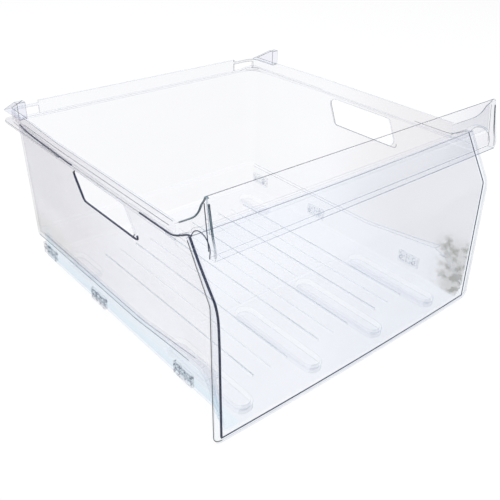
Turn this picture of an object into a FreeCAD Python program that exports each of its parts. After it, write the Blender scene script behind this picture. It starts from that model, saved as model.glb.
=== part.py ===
# Clear pull-out freezer drawer: a deep transparent tub behind a bowed front panel,
# with a grip strip along the top, guide clips on the lower walls and two rear stops.
# Millimetres. X is the width, +Y runs to the back and +Z is up. While it is built, the front
# plane is Y = 0 and the underside of the front panel is Z = 0; every piece is then moved
# back by the same amount, so that the origin lies under the middle of the whole drawer.

import FreeCAD
import Part
import Sketcher
import os
import re
from FreeCAD import Vector

SIZES = {
    # Tub: widths are half widths of the outer faces, or steps from the wall under the rim
    "wall": 2.5,
    "top_half": 213.0,
    "front_step": 1.5,
    "corner_taper": 7.0,
    "wall_lean": 15.0,
    "corner_lean": 12.0,
    "front_lean": 3.3,
    "flare_lean": 9.0,
    "bend_lean": 13.0,
    "flare_back": 40.0,
    "bend_back": 75.0,
    "middle_front": 150.0,
    "middle_rear": 300.0,
    "rear_wall": 451.0,
    "corner_round": 18.0,
    "rim_underside": 214.5,
    # Inset band below the ledge
    "ledge_height": 50.5,
    "ledge_rise_back": 170.0,
    "ledge_crest_back": 46.0,
    "ledge_crest_rise": 14.5,
    "cheek_top_back": 32.0,
    "cheek_top_rise": 9.5,
    "cheek_back": 9.0,
    "cheek_foot": 27.0,
    "cheek_toe": 18.5,
    "inset_step": 3.0,
    "inset_rear_step": 11.0,
    "inset_round": 10.0,
    "floor_underside": 9.5,
    "floor_edge_round": 6.0,
    # Skirt that widens from the inset band to the panel
    "skirt_back": 38.0,
    "skirt_drop": 2.0,
    "skirt_round": 9.0,
    # Rim and corner flanges
    "rim_height": 20.5,
    "rim_step": 3.0,
    "rim_front": 66.0,
    "rim_taper": 2.5,
    "rim_rear_step": 5.0,
    "rim_wall": 3.0,
    "flange_step": 3.5,
    "flange_run": 3.0,
    "flange_reach": 12.0,
    "flange_round": 12.0,
    "flange_width": 35.0,
    "ear_back": 46.0,
    "ear_step": 5.0,
    "window_inset": 10.0,
    "window_width": 35.0,
    "window_height": 10.5,
    "window_bar": 3.5,
    # Hand holes in the side walls
    "hole_drop": 3.0,
    "hole_height": 36.5,
    "hole_front": 146.0,
    "hole_length": 116.0,
    "hole_slant": 19.0,
    "hole_round": 8.0,
    # Floor ribs, skids and rear feet
    "rib_pitch": 26.0,
    "rib_width": 1.6,
    "rib_height": 5.0,
    "low_rib_height": 3.5,
    "rib_front": 45.0,
    "rib_rear_gap": 71.0,
    "bar_height": 2.0,
    "bar_width": 2.0,
    "skid_inner": 54.0,
    "skid_outer": 161.0,
    "skid_width": 26.0,
    "skid_front": 16.0,
    "skid_length": 148.0,
    "foot_rear_gap": 31.0,
    "foot_length": 70.0,
    # Front panel
    "panel_border": 6.5,
    "panel_thickness": 3.0,
    "panel_bow": 3.0,
    "knee_back": 4.0,
    "knee_drop": 58.0,
    "knee_round": 30.0,
    "panel_top_back": 39.0,
    "panel_rise": 17.0,
    "panel_round": 10.0,
    # Grip: strip, shelf and end webs
    "grip_step": 2.0,
    "strip_foot_drop": 11.0,
    "strip_foot_front": 4.0,
    "strip_front": 3.0,
    "strip_front_drop": 2.0,
    "strip_depth": 10.0,
    "strip_top_front": 14.5,
    "strip_height": 59.0,
    "strip_top_depth": 5.5,
    "strip_shoulder_drop": 6.5,
    "shelf_thickness": 3.0,
    "shelf_root": 2.6,
    "shelf_rise": 10.0,
    "shelf_arch": 13.8,
    "shelf_crown": 24.0,
    "web_thickness": 3.0,
    "web_hip_back": 42.0,
    "web_hip_rise": 16.5,
    "web_hip_round": 36.0,
    "web_neck_back": 25.5,
    "web_neck_rise": 37.0,
    # Guide clips
    "clip_length": 35.0,
    "clip_height": 17.0,
    "clip_depth": 4.0,
    "clip_frame": 2.2,
    "clip_recess": 2.6,
    "peg_width": 4.0,
    "peg_spacing": 22.0,
    "peg_clearance": 0.15,
    "front_clip_back": 87.0,
    "front_clip_lift": 17.0,
    "middle_clip_back": 276.0,
    "middle_clip_lift": 15.0,
    "rear_clip_gap": 37.0,
    "rear_clip_lift": 20.0,
    # Rear stops
    "stop_width": 11.0,
    "stop_inset": 2.5,
    "stop_length": 50.0,
    "stop_overhang": 3.0,
    "stop_height": 22.0,
    "stop_crest": 8.0,
    # Clearance between pieces that are joined
    "seam": 0.05,
}

# Places that follow from the sizes
PLACES = {
    "front_half": "top_half - front_lean",
    "flare_half": "top_half - flare_lean",
    "bend_half": "top_half - bend_lean",
    "middle_half": "top_half - wall_lean",
    "corner_half": "top_half - corner_lean",
    "top_front_half": "top_half + front_step",
    "top_corner_half": "top_half - corner_taper",
    "inset_half": "middle_half - inset_step",
    "inset_rear": "rear_wall - inset_rear_step",
    "ledge_crest": "ledge_height + ledge_crest_rise",
    "cheek_top": "ledge_height + cheek_top_rise",
    "rim_half": "top_half + rim_step",
    "rim_corner_half": "top_half - rim_taper",
    "rim_rear": "rear_wall + rim_rear_step",
    "flange_half": "top_half + flange_step",
    "flange_front": "middle_rear + flange_run",
    "flange_rear": "rear_wall + flange_reach",
    "flange_inner_half": "top_half - flange_width",
    "ear_foot": "rim_underside + ear_step",
    "window_end": "top_half - window_inset",
    "window_start": "window_end - window_width",
    "window_base": "rim_underside + rim_wall",
    "window_top": "window_base + window_height",
    "corner_rim_top": "window_top + window_bar",
    "hole_top": "rim_underside - hole_drop",
    "hole_base": "hole_top - hole_height",
    "floor_top": "floor_underside + wall",
    "rib_rear": "rear_wall - rib_rear_gap",
    "skid_rear": "skid_front + skid_length",
    "foot_front": "rear_wall - foot_rear_gap - foot_length",
    "panel_half": "top_half + panel_border",
    "panel_top": "rim_underside + panel_rise",
    "knee_height": "panel_top - knee_drop",
    "grip_half": "top_half + grip_step",
    "strip_foot": "panel_top - strip_foot_drop",
    "strip_front_height": "panel_top - strip_front_drop",
    "strip_top": "strip_foot + strip_height",
    "strip_shoulder": "strip_top - strip_shoulder_drop",
    "strip_heel": "strip_foot + 2",
    "strip_back": "strip_front + strip_depth",
    "web_hip_height": "panel_top + web_hip_rise",
    "web_neck_height": "panel_top + web_neck_rise",
    "front_clip_height": "floor_underside + front_clip_lift",
    "middle_clip_height": "floor_underside + middle_clip_lift",
    "rear_clip_height": "floor_underside + rear_clip_lift",
    "rear_clip_back": "rear_wall - rear_clip_gap",
    "stop_centre": "top_half - stop_inset",
    "stop_tip": "rear_wall + stop_overhang",
    "stop_front": "stop_tip - stop_length",
    "depth_shift": "(flange_rear - panel_bow) / 2",
    # The panel's section leans by these angles from the upright
    "low_lean": "atan(knee_back / knee_height)",
    "high_lean": "atan((panel_top_back - knee_back) / (panel_top - knee_height))",
    "half_bend": "(high_lean - low_lean) / 2",
    "middle_lean": "(high_lean + low_lean) / 2",
    "panel_back": "panel_thickness / cos(low_lean)",
    "panel_top_rear": "panel_top_back + panel_thickness / cos(high_lean)",
    "shelf_back": "panel_top_rear + 1",
    # Radius of the panel's bow in plan, from its half width and rise
    "bow_radius": "(panel_half ^ 2 + panel_bow ^ 2) / (2 * panel_bow)",
    "bow_centre": "bow_radius - panel_bow",
}

CLIP_COLUMNS = 3
CLIP_ROWS = 2
RIBS_EACH_SIDE = 5

# Reach of a cutting shape past the solid that it cuts
BEYOND = 40.0
# Angle of a swept section, as a multiple of the panel's half angle about the bow's axis
SWEEP = 2.6

document = FreeCAD.newDocument("FreezerDrawer")
sheet = document.addObject("Spreadsheet::Sheet", "Sizes")
for row, (alias, length) in enumerate(SIZES.items(), start=1):
    sheet.set(f"A{row}", alias)
    sheet.set(f"B{row}", str(length))
    sheet.setAlias(f"B{row}", alias)
document.recompute()


def spelled(word):
    """A word of an expression as the sheet knows it, with places written out in sizes."""
    if word in PLACES:
        return f"({scoped(PLACES[word])})"
    return f"Sizes.{word}" if word in SIZES else word


def scoped(expression):
    return re.sub(r"[A-Za-z_][A-Za-z_0-9]*", lambda match: spelled(match.group()), str(expression))


def number(expression):
    """Value of an expression now."""
    return float(sheet.evalExpression(scoped(expression)))


def bind(thing, prop, expression):
    thing.setExpression(prop, scoped(expression))


# Sketch helpers

def arc_between(start, end, radius):
    """Arc under half a turn, counter-clockwise, or clockwise where the radius is negative."""
    if radius < 0:
        return arc_between(end, start, -radius)
    chord = end - start
    height = max(radius ** 2 - (chord.Length / 2) ** 2, 0.0) ** 0.5
    centre = (start + end) * 0.5 + Vector(-chord.y, chord.x, 0).normalize() * height
    circle = Part.Circle(centre, Vector(0, 0, 1), radius)
    return Part.ArcOfCircle(circle, circle.parameter(start), circle.parameter(end))


def hold(sketch, kind, *where, value, expression):
    """Constraint whose value follows an expression."""
    rule = sketch.addConstraint(Sketcher.Constraint(kind, *where, value))
    bind(sketch, f"Constraints[{rule}]", expression)


def draw_outline(sketch, corners):
    """Closed outline. A corner is (x, y), or (x, y, radius) where an arc starts there."""
    first = sketch.GeometryCount
    points = [Vector(number(corner[0]), number(corner[1]), 0) for corner in corners]
    count = len(corners)
    ends = []
    for place, corner in enumerate(corners):
        start = points[place]
        end = points[(place + 1) % count]
        radius = number(corner[2]) if len(corner) == 3 else 0.0
        if radius:
            sketch.addGeometry(arc_between(start, end, radius), False)
        else:
            sketch.addGeometry(Part.LineSegment(start, end), False)
        ends.append((2, 1) if radius < 0 else (1, 2))
    for place in range(count):
        following = (place + 1) % count
        sketch.addConstraint(Sketcher.Constraint(
            "Coincident", first + place, ends[place][1], first + following, ends[following][0]))
    for place, corner in enumerate(corners):
        edge = first + place
        point = points[place]
        begin = ends[place][0]
        hold(sketch, "DistanceX", -1, 1, edge, begin, value=point.x, expression=corner[0])
        hold(sketch, "DistanceY", -1, 1, edge, begin, value=point.y, expression=corner[1])
        if len(corner) < 3:
            continue
        radius = number(corner[2])
        chord = points[(place + 1) % count] - point
        if 2 * abs(radius) - chord.Length < 0.001:
            # Half a turn on a level chord: its centre is as high as its ends
            hold(sketch, "DistanceY", -1, 1, edge, 3, value=point.y, expression=corner[1])
        else:
            hold(sketch, "Radius", edge, value=abs(radius), expression=f"abs({corner[2]})")


def mirrored(corners):
    """Both halves of an outline from its right half, listed from front to back."""
    left = []
    for place in range(len(corners) - 1, -1, -1):
        x, y = corners[place][:2]
        flipped = (f"-({x})", y)
        if place and len(corners[place - 1]) == 3:
            flipped += (corners[place - 1][2],)
        left.append(flipped)
    return list(corners) + left


def plan_sketch(name, corners, level):
    """Loose sketch in a level plane."""
    sketch = document.addObject("Sketcher::SketchObject", name)
    draw_outline(sketch, corners)
    bind(sketch, ".Placement.Base.z", level)
    return sketch


def side_sketch(name, corners, station="0"):
    """Loose sketch seen from the right: its x is the depth, its y is the height."""
    sketch = document.addObject("Sketcher::SketchObject", name)
    draw_outline(sketch, corners)
    turn = FreeCAD.Rotation(Vector(1, 1, 1), 120)
    sketch.Placement = FreeCAD.Placement(Vector(number(station), 0, 0), turn)
    bind(sketch, ".Placement.Base.x", station)
    return sketch


def front_sketch(name, corners, station):
    """Loose upright sketch seen from the front, at a station along the depth."""
    sketch = document.addObject("Sketcher::SketchObject", name)
    draw_outline(sketch, corners)
    turn = FreeCAD.Rotation(Vector(1, 0, 0), 90)
    sketch.Placement = FreeCAD.Placement(Vector(0, number(station), 0), turn)
    bind(sketch, ".Placement.Base.y", station)
    return sketch


def extrude(name, sketch, direction, length):
    solid = document.addObject("Part::Extrusion", name)
    solid.Base = sketch
    solid.DirMode = "Custom"
    solid.Dir = direction
    solid.Solid = True
    bind(solid, "LengthFwd", length)
    return solid


def upright(name, corners, level, height):
    """Solid that stands on a level outline."""
    return extrude(name, plan_sketch(f"{name}_outline", corners, level), Vector(0, 0, 1), height)


def across(name, corners, half_width):
    """Solid of one side profile across the width, as far to the left as to the right."""
    sketch = side_sketch(f"{name}_profile", corners, f"-({half_width})")
    return extrude(name, sketch, Vector(1, 0, 0), f"2 * ({half_width})")


def loft(name, sections):
    """Straight-sided solid between two outlines with as many edges."""
    solid = document.addObject("Part::Loft", name)
    solid.Sections = sections
    solid.Solid = True
    solid.Ruled = True
    return solid


def common(name, base, tool):
    solid = document.addObject("Part::Common", name)
    solid.Base = base
    solid.Tool = tool
    return solid


def fuse(name, shapes):
    solid = document.addObject("Part::MultiFuse", name)
    solid.Shapes = shapes
    solid.Refine = True
    return solid


def cut(name, base, tool):
    solid = document.addObject("Part::Cut", name)
    solid.Base = base
    solid.Tool = tool
    solid.Refine = True
    return solid


def box(name, low, size):
    solid = document.addObject("Part::Box", name)
    for axis, place in zip("xyz", low):
        bind(solid, f".Placement.Base.{axis}", place)
    for side, length in zip(("Length", "Width", "Height"), size):
        bind(solid, side, length)
    return solid


def round_edges(name, base, radius, chosen):
    """Fillet of the chosen edges of a solid."""
    document.recompute()
    solid = document.addObject("Part::Fillet", name)
    solid.Base = base
    size = number(radius)
    solid.Edges = [
        (place, size, size)
        for place, edge in enumerate(base.Shape.Edges, start=1)
        if chosen(edge, base.Shape)
    ]
    return solid


def runs_across(edge, shape):
    return abs(edge.BoundBox.XLength - shape.BoundBox.XLength) < 0.001


def on_bottom_not_front(edge, shape):
    bounds = edge.BoundBox
    at_front = bounds.YLength < 0.001 and bounds.YMin < shape.BoundBox.Center.y
    return bounds.ZMax < shape.BoundBox.ZMin + 0.001 and not at_front


def round_bottom(name, base, radius):
    return round_edges(name, base, radius, on_bottom_not_front)


def origin_plane(body, role):
    for feature in body.Origin.OriginFeatures:
        if feature.Role == role:
            return feature
    raise LookupError(role)


def body_sketch(body, name, role, corners_list, offset=None):
    """Sketch on one of the body's own origin planes, shifted along its normal."""
    sketch = body.newObject("Sketcher::SketchObject", name)
    sketch.AttachmentSupport = [(origin_plane(body, role), "")]
    sketch.MapMode = "FlatFace"
    if offset is not None:
        bind(sketch, ".AttachmentOffset.Base.z", offset)
    for corners in corners_list:
        draw_outline(sketch, corners)
    return sketch


def pad(body, name, sketch, length, midplane=False, reversed_way=False):
    feature = body.newObject("PartDesign::Pad", name)
    feature.Profile = sketch
    bind(feature, "Length", length)
    feature.Midplane = midplane
    feature.Reversed = reversed_way
    return feature


def pocket(body, name, sketch, length, midplane=False, reversed_way=False):
    feature = body.newObject("PartDesign::Pocket", name)
    feature.Profile = sketch
    bind(feature, "Length", length)
    feature.Midplane = midplane
    feature.Reversed = reversed_way
    return feature


def rectangle(x_low, y_low, x_high, y_high):
    return [(x_low, y_low), (x_high, y_low), (x_high, y_high), (x_low, y_high)]


# The panel's section: its back face from the foot up, and its front face from the top down.
# The knee between the upright part and the leaning top is one round bend through both faces.

KNEE_RUN = "knee_round * tan(half_bend)"
BACK_KNEE_RUN = "(knee_round - panel_thickness) * tan(half_bend)"
BACK_KNEE_BACK = "(knee_back + panel_thickness * cos(middle_lean) / cos(half_bend))"
BACK_KNEE_HEIGHT = "(knee_height - panel_thickness * sin(middle_lean) / cos(half_bend))"

BACK_FACE = [
    ("panel_back", "0"),
    (f"{BACK_KNEE_BACK} - {BACK_KNEE_RUN} * sin(low_lean)",
     f"{BACK_KNEE_HEIGHT} - {BACK_KNEE_RUN} * cos(low_lean)",
     "panel_thickness - knee_round"),
    (f"{BACK_KNEE_BACK} + {BACK_KNEE_RUN} * sin(high_lean)",
     f"{BACK_KNEE_HEIGHT} + {BACK_KNEE_RUN} * cos(high_lean)"),
    ("panel_top_rear", "panel_top"),
]
FRONT_FACE = [
    ("panel_top_back", "panel_top"),
    (f"knee_back + {KNEE_RUN} * sin(high_lean)", f"knee_height + {KNEE_RUN} * cos(high_lean)",
     "knee_round"),
    (f"knee_back - {KNEE_RUN} * sin(low_lean)", f"knee_height - {KNEE_RUN} * cos(low_lean)"),
    ("0", "0"),
]


def bowed(corners, clearance="0"):
    """Section corners moved forward to the middle of the bow."""
    return [(f"{corner[0]} - panel_bow + {clearance}", *corner[1:]) for corner in corners]


def revolved_section(name, corners):
    """Section in the middle plane, swept about the upright axis of the bow, past the sides."""
    sketch = side_sketch(f"{name}_section", corners)
    solid = document.addObject("Part::Revolution", name)
    solid.Source = sketch
    solid.Axis = Vector(0, 0, 1)
    bind(solid, ".Base.y", "bow_centre")
    bind(solid, "Angle", f"{SWEEP} * asin(panel_half / bow_radius)")
    solid.Symmetric = True
    solid.Solid = True
    return solid


# Front panel: a bowed plate with a knee near its top, cut to its outline

panel_sweep = revolved_section("panel_sweep", bowed(BACK_FACE + FRONT_FACE))
panel_outline = front_sketch("panel_outline", [
    ("-panel_half + panel_round", "0"),
    ("panel_half - panel_round", "0", "panel_round"),
    ("panel_half", "panel_round"),
    ("panel_half", "panel_top"),
    ("-panel_half", "panel_top"),
    ("-panel_half", "panel_round", "panel_round"),
], f"panel_top_back + {BEYOND}")
panel_blank = extrude("panel_blank", panel_outline, Vector(0, -1, 0),
                      f"panel_top_back + 2 * {BEYOND}")
front_panel = common("front_panel", panel_sweep, panel_blank)


# Tub: half outlines from front to back, given by how far they lie inside the outer faces

def lower_outline(inward):
    return mirrored([
        (f"front_half - {inward}", "-panel_bow"),
        (f"flare_half - {inward}", "flare_back"),
        (f"bend_half - {inward}", "bend_back"),
        (f"middle_half - {inward}", "middle_front"),
        (f"middle_half - {inward}", "middle_rear"),
        (f"corner_half - {inward}", "rear_wall - corner_round", f"corner_round - {inward}"),
        ("corner_half - corner_round", f"rear_wall - {inward}"),
    ])


def upper_outline(inward):
    return mirrored([
        (f"top_front_half - {inward}", "-panel_bow"),
        (f"top_half - {inward}", "flare_back"),
        (f"top_half - {inward}", "bend_back"),
        (f"top_half - {inward}", "middle_front"),
        (f"top_half - {inward}", "middle_rear"),
        (f"top_corner_half - {inward}", "rear_wall - corner_round", f"corner_round - {inward}"),
        ("top_corner_half - corner_round", f"rear_wall - {inward}"),
    ])


def above_ledge(name, lift):
    """Everything above the ledge, whose front end sweeps down to the panel's foot."""
    return across(name, [
        (f"-{BEYOND}", f"cheek_toe + {lift}"),
        (f"-({lift})", f"cheek_toe + {lift}"),
        (f"cheek_back - {lift}", f"cheek_foot + {lift}"),
        (f"cheek_top_back - {lift}", f"cheek_top + {lift}"),
        (f"ledge_crest_back - {lift}", f"ledge_crest + {lift}"),
        ("ledge_rise_back", f"ledge_height + {lift}"),
        (f"rear_wall + {BEYOND}", f"ledge_height + {lift}"),
        (f"rear_wall + {BEYOND}", f"rim_underside + {BEYOND}"),
        (f"-{BEYOND}", f"rim_underside + {BEYOND}"),
    ], f"panel_half + {BEYOND}")


def inset_outline(inward):
    return mirrored([
        (f"inset_half - {inward}", "-panel_bow"),
        (f"inset_half - {inward}", "inset_rear - inset_round", f"inset_round - {inward}"),
        ("inset_half - inset_round", f"inset_rear - {inward}"),
    ])


def rim_outline(inward, front):
    return mirrored([
        (f"rim_half - {inward}", front),
        (f"rim_half - {inward}", "middle_rear"),
        (f"rim_corner_half - {inward}", "rim_rear - corner_round", f"corner_round - {inward}"),
        ("rim_corner_half - corner_round", f"rim_rear - {inward}"),
    ])


def skirt_outline(half, base, rounding):
    """Upright section of the skirt, level with the cheeks at its top."""
    return [
        (f"-({half})", "cheek_top"),
        (f"-({half})", f"{base} + {rounding}", rounding),
        (f"{rounding} - ({half})", base),
        (f"{half} - {rounding}", base, rounding),
        (half, f"{base} + {rounding}"),
        (half, "cheek_top"),
    ]


def make_skirt(name, inward):
    front = front_sketch(f"{name}_front", skirt_outline(
        f"front_half - {inward}", f"(floor_underside - skirt_drop + {inward})",
        f"(skirt_round - {inward})"), "-panel_bow")
    back = front_sketch(f"{name}_back", skirt_outline(
        f"inset_half - {inward}", f"(floor_underside + {inward})",
        f"(floor_edge_round - {inward})"), "skirt_back")
    return loft(name, [front, back])


wall_blank = loft("wall_blank", [
    plan_sketch("wall_blank_lower", lower_outline("0"), "floor_underside"),
    plan_sketch("wall_blank_upper", upper_outline("0"), "rim_underside + rim_wall"),
])
upper_blank = common("upper_blank", wall_blank, above_ledge("ledge_side", "0"))
inset_block = round_bottom("inset_block", upright(
    "inset_blank", inset_outline("0"), "floor_underside",
    "ledge_crest + wall - floor_underside"), "floor_edge_round")
rim_block = upright("rim_block", rim_outline("0", "rim_front"), "rim_underside", "rim_height")
flange_block = upright("flange_block", mirrored([
    ("top_half - wall", "middle_rear - 20"),
    ("top_half", "middle_rear - 20"),
    ("flange_half", "flange_front"),
    ("flange_half", "flange_rear - flange_round", "flange_round"),
    ("flange_half - flange_round", "flange_rear"),
    ("flange_inner_half", "rim_rear - 1"),
]), "rim_underside", "rim_wall")


def ear(side, direction):
    """Raised front end of a side wall, up to the panel's top and under the grip's web."""
    sketch = side_sketch(f"ear_{side}_profile", [
        ("knee_back", "rim_underside - 6"),
        ("rim_front + 1", "rim_underside - 6"),
        ("rim_front + 1", "ear_foot"),
        ("rim_front", "ear_foot"),
        ("ear_back", "panel_top"),
        ("knee_back", "panel_top"),
    ], f"({direction}) * (grip_half - web_thickness)")
    return extrude(f"ear_{side}", sketch, Vector(direction, 0, 0), "web_thickness")


# Front skids and rear feet: hollow runners under the floor

def runner(name, centre, front, length, inward, base, height):
    half = f"(skid_width / 2 - {inward})"
    return upright(name, [
        (f"{centre} - {half}", f"{front} + skid_width / 2", half),
        (f"{centre} + {half}", f"{front} + skid_width / 2"),
        (f"{centre} + {half}", f"{front} + {length} - skid_width / 2", half),
        (f"{centre} - {half}", f"{front} + {length} - skid_width / 2"),
    ], base, height)


runners = []
channels = []
RUNNERS = (
    ("skid_left_outer", "-skid_outer", "skid_front", "skid_length"),
    ("skid_left_inner", "-skid_inner", "skid_front", "skid_length"),
    ("skid_right_inner", "skid_inner", "skid_front", "skid_length"),
    ("skid_right_outer", "skid_outer", "skid_front", "skid_length"),
    ("foot_left", "-skid_outer", "foot_front", "foot_length"),
    ("foot_right", "skid_outer", "foot_front", "foot_length"),
)
for name, centre, front, length in RUNNERS:
    runners.append(runner(name, centre, front, length, "0", "0", "floor_underside + 1"))
    channels.append(runner(f"{name}_channel", centre, front, length, "wall",
                           "wall", "floor_underside + rib_height"))

tub_blank = fuse("tub_blank", [
    upper_blank, inset_block, make_skirt("skirt", "0"), rim_block, flange_block,
    ear("left", -1), ear("right", 1), *runners,
])

# Inside of the tub, hand holes, corner windows and the front end's fit against the panel

wall_hollow = loft("wall_hollow", [
    plan_sketch("wall_hollow_lower", lower_outline("wall"), "floor_underside"),
    plan_sketch("wall_hollow_upper", upper_outline("wall"), "rim_underside + rim_wall"),
])
upper_hollow = common("upper_hollow", wall_hollow, above_ledge("ledge_top_side", "wall"))
inset_hollow = round_bottom("inset_hollow", upright(
    "inset_hollow_blank", inset_outline("wall"), "floor_top",
    "ledge_crest + wall - floor_underside"), "floor_edge_round - wall")
rim_hollow = upright("rim_hollow", rim_outline("rim_wall", "rim_front - 1"),
                     "rim_underside + rim_wall", "rim_height")

hole_profile = side_sketch("hole_profile", [
    ("hole_front", "hole_base"),
    ("hole_front + hole_length", "hole_base"),
    ("hole_front + hole_length + hole_slant", "hole_top"),
    ("hole_front + hole_slant", "hole_top"),
], f"-(rim_half + {BEYOND})")
hole_block = extrude("hole_block", hole_profile, Vector(1, 0, 0), f"2 * (rim_half + {BEYOND})")
hand_holes = round_edges("hand_holes", hole_block, "hole_round", runs_across)

cuts = [upper_hollow, inset_hollow, make_skirt("skirt_hollow", "wall"), rim_hollow, hand_holes,
        *channels]

for side in ("left", "right"):
    near = "window_start" if side == "right" else "-window_end"
    cuts.append(box(f"window_{side}", (near, f"rear_wall - {BEYOND}", "window_base"),
                    ("window_width", f"2 * {BEYOND}", "window_height")))
    near = "window_start" if side == "right" else f"-(rim_half + {BEYOND})"
    cuts.append(box(f"lowered_corner_{side}", (near, "stop_front", "corner_rim_top"),
                    (f"rim_half + {BEYOND} - window_start", f"rim_rear + {BEYOND} - stop_front",
                     "rim_height")))

front_end = revolved_section("front_end", bowed([
    (f"-{BEYOND}", f"-{BEYOND}"),
    ("panel_back", f"-{BEYOND}"),
    *BACK_FACE,
    (f"panel_top_back + {BEYOND}", f"panel_top + {BEYOND}"),
    (f"-{BEYOND}", f"panel_top + {BEYOND}"),
], "seam"))
cuts.append(front_end)

CLIPS = [(side, place) for side in ("left", "right") for place in ("front", "middle", "rear")]
for side, place in CLIPS:
    for step in (-1, 1):
        hole = document.addObject("Part::Cylinder", f"peg_hole_{side}_{place}_{step + 1}")
        hole.Placement = FreeCAD.Placement(Vector(0, 0, 0), FreeCAD.Rotation(Vector(0, 1, 0), 90))
        start = f"inset_half - {BEYOND}" if side == "right" else "-inset_half - 1"
        bind(hole, ".Placement.Base.x", start)
        bind(hole, ".Placement.Base.y", f"{place}_clip_back + ({step}) * peg_spacing / 2")
        bind(hole, ".Placement.Base.z", f"{place}_clip_height")
        bind(hole, "Radius", "peg_width / 2 + peg_clearance")
        bind(hole, "Height", f"{BEYOND} + 1")
        cuts.append(hole)

tub_shell = cut("tub_shell", tub_blank, fuse("tub_hollow", cuts))

# Ribs along the floor and one bar across it

RIBS_BEHIND_SKIDS = (-2, 2)
ROOT = 0.5

ribs = []
for count in range(-RIBS_EACH_SIDE, RIBS_EACH_SIDE + 1):
    front = "skid_rear" if count in RIBS_BEHIND_SKIDS else "rib_front"
    height = "rib_height" if count % 2 else "low_rib_height"
    ribs.append(box(f"rib_{count + RIBS_EACH_SIDE}",
                    (f"({count}) * rib_pitch - rib_width / 2", front, f"floor_top - {ROOT}"),
                    ("rib_width", f"rib_rear - {front}", f"{height} + {ROOT}")))
ribs.append(box("cross_bar",
                (f"-{RIBS_EACH_SIDE} * rib_pitch", "skid_rear", f"floor_top - {ROOT}"),
                (f"2 * {RIBS_EACH_SIDE} * rib_pitch", "bar_width", f"bar_height + {ROOT}")))
tub = fuse("tub", [tub_shell, *ribs])

# Grip: a leaning strip, an arched shelf back to the panel's top edge and a web at each end

grip = document.addObject("PartDesign::Body", "handle_grip")
strip_sketch = body_sketch(grip, "strip_section", "YZ_Plane", [[
    ("strip_foot_front", "strip_foot"),
    ("strip_back - 1", "strip_foot"),
    ("strip_back", "strip_heel", "-shelf_arch"),
    ("panel_top_back", "panel_top + seam"),
    ("shelf_back", "panel_top + seam"),
    ("shelf_back", "panel_top + shelf_thickness", "shelf_crown"),
    ("strip_back + shelf_root", "panel_top + shelf_rise"),
    ("strip_top_front + strip_top_depth", "strip_shoulder"),
    ("strip_top_front + strip_top_depth", "strip_top - strip_top_depth / 2", "strip_top_depth / 2"),
    ("strip_top_front", "strip_top - strip_top_depth / 2"),
    ("strip_front", "strip_front_height"),
]])
pad(grip, "strip", strip_sketch, "2 * grip_half", midplane=True)
for side, reversed_way in (("left", False), ("right", True)):
    offset = "-grip_half" if side == "left" else "grip_half"
    web_sketch = body_sketch(grip, f"web_{side}_outline", "YZ_Plane", [[
        ("strip_back", "strip_heel", "-shelf_arch"),
        ("panel_top_back", "panel_top + seam"),
        ("ear_back", "panel_top + seam"),
        ("rim_front - seam", "ear_foot + seam * 2"),
        ("rim_front - seam", "panel_top + 1"),
        ("web_hip_back", "web_hip_height", "-web_hip_round"),
        ("web_neck_back", "web_neck_height"),
        ("strip_top_front + strip_top_depth - 1", "strip_top - strip_top_depth / 2"),
    ]], offset)
    pad(grip, f"web_{side}", web_sketch, "web_thickness", reversed_way=reversed_way)

# Guide clips: framed pads on the inset band, each held by two pegs through the wall

CELL_LENGTH = f"((clip_length - clip_frame) / {CLIP_COLUMNS})"
CELL_HEIGHT = f"((clip_height - clip_frame) / {CLIP_ROWS})"


def make_clip(side, place):
    """Clip in its own frame: the wall's outer face is X = 0 and the clip stands out in +X."""
    body = document.addObject("PartDesign::Body", f"clip_{side}_{place}")
    frame_outline = body_sketch(body, f"{body.Name}_outline", "YZ_Plane", [
        rectangle("-clip_length / 2", "-clip_height / 2", "clip_length / 2", "clip_height / 2"),
    ], "seam")
    pad(body, f"{body.Name}_pad", frame_outline, "clip_depth")
    cells = []
    for column in range(CLIP_COLUMNS):
        for line in range(CLIP_ROWS):
            left = f"-clip_length / 2 + clip_frame + {column} * {CELL_LENGTH}"
            low = f"-clip_height / 2 + clip_frame + {line} * {CELL_HEIGHT}"
            cells.append(rectangle(left, low, f"{left} + {CELL_LENGTH} - clip_frame",
                                   f"{low} + {CELL_HEIGHT} - clip_frame"))
    cell_outlines = body_sketch(body, f"{body.Name}_cells", "YZ_Plane", cells, "seam + clip_depth")
    pocket(body, f"{body.Name}_recesses", cell_outlines, "clip_recess")
    pegs = body.newObject("Sketcher::SketchObject", f"{body.Name}_peg_circles")
    pegs.AttachmentSupport = [(origin_plane(body, "YZ_Plane"), "")]
    pegs.MapMode = "FlatFace"
    bind(pegs, ".AttachmentOffset.Base.z", "seam")
    for step in (-1, 1):
        middle = Vector(step * number("peg_spacing / 2"), 0, 0)
        circle = pegs.addGeometry(Part.Circle(middle, Vector(0, 0, 1), number("peg_width / 2")), False)
        hold(pegs, "Diameter", circle, value=number("peg_width"), expression="peg_width")
        hold(pegs, "DistanceX", -1, 1, circle, 3, value=middle.x,
             expression=f"({step}) * peg_spacing / 2")
        pegs.addConstraint(Sketcher.Constraint("PointOnObject", circle, 3, -1))
    pad(body, f"{body.Name}_pegs", pegs, "wall + seam", reversed_way=True)
    turn = 0 if side == "right" else 180
    body.Placement = FreeCAD.Placement(Vector(0, 0, 0), FreeCAD.Rotation(Vector(0, 0, 1), turn))
    bind(body, ".Placement.Base.x", "inset_half" if side == "right" else "-inset_half")
    bind(body, ".Placement.Base.y", f"{place}_clip_back - depth_shift")
    bind(body, ".Placement.Base.z", f"{place}_clip_height")
    return body


# Rear stops: wedges on the rim's rear corners that rise towards the front

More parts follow.
